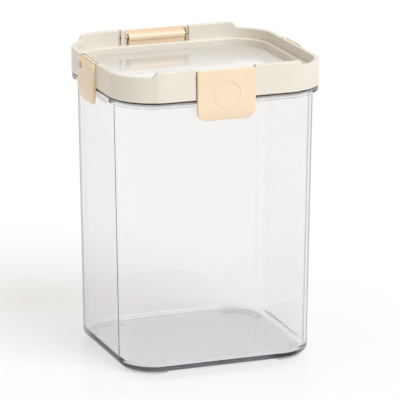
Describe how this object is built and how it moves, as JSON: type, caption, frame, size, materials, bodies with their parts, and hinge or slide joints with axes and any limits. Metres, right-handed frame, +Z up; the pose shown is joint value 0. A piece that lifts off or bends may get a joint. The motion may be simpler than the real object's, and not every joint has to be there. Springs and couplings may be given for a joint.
{
  "type": "food storage container",
  "caption": "Clear rounded-square food storage jar with a cream framed lid, a sunken clear window and a hinged peach latch on every side.",
  "frame": {"origin": "middle of the footprint, at the bottom of the feet", "axes": "+Z up; -Y is the front, the side with the wide latch that the picture shows; +X to the right seen from the front"},
  "size_m": [0.1532, 0.1392, 0.2097],
  "materials": {
    "clear_plastic": "clear, polished",
    "window_plastic": "clear, lightly frosted underneath",
    "cream_plastic": "smooth satin",
    "peach_plastic": "smooth satin",
    "silicone": "matte translucent",
    "steel": "bright drawn wire"
  },
  "bodies": {
    "jar": {"jar": "clear_plastic"},
    "lid": {"lid_frame": "cream_plastic", "lid_window": "window_plastic", "gasket": "silicone", "pin_front": "steel", "pin_back": "steel", "pin_left": "steel", "pin_right": "steel"},
    "latch_front": {"latch_front": "peach_plastic"},
    "latch_back": {"latch_back": "peach_plastic"},
    "latch_left": {"latch_left": "peach_plastic"},
    "latch_right": {"latch_right": "peach_plastic"}
  },
  "joints": [
    {"name": "lid_lift", "type": "slide", "parent": "jar", "child": "lid", "axis": [0, 0, 1], "range_m": [0, 0.024]},
    {"name": "latch_front_turn", "type": "hinge", "parent": "lid", "child": "latch_front", "pos_m": [-0.0028, -0.0653, 0.204], "axis": [-1, 0, 0], "range_deg": [0, 161]},
    {"name": "latch_back_turn", "type": "hinge", "parent": "lid", "child": "latch_back", "pos_m": [-0.0038, 0.0653, 0.204], "axis": [1, 0, 0], "range_deg": [0, 161]},
    {"name": "latch_left_turn", "type": "hinge", "parent": "lid", "child": "latch_left", "pos_m": [-0.0729, 0.0046, 0.2049], "axis": [0, 1, 0], "range_deg": [0, 96]},
    {"name": "latch_right_turn", "type": "hinge", "parent": "lid", "child": "latch_right", "pos_m": [0.0729, 0.0046, 0.2049], "axis": [0, -1, 0], "range_deg": [0, 96]}
  ],
  "couplings": [
    {"joint": "latch_front_turn", "follows": "lid_lift", "rad_per_m": 116.36},
    {"joint": "latch_back_turn", "follows": "lid_lift", "rad_per_m": 116.36},
    {"joint": "latch_left_turn", "follows": "lid_lift", "rad_per_m": 69.086},
    {"joint": "latch_right_turn", "follows": "lid_lift", "rad_per_m": 69.086}
  ]
}
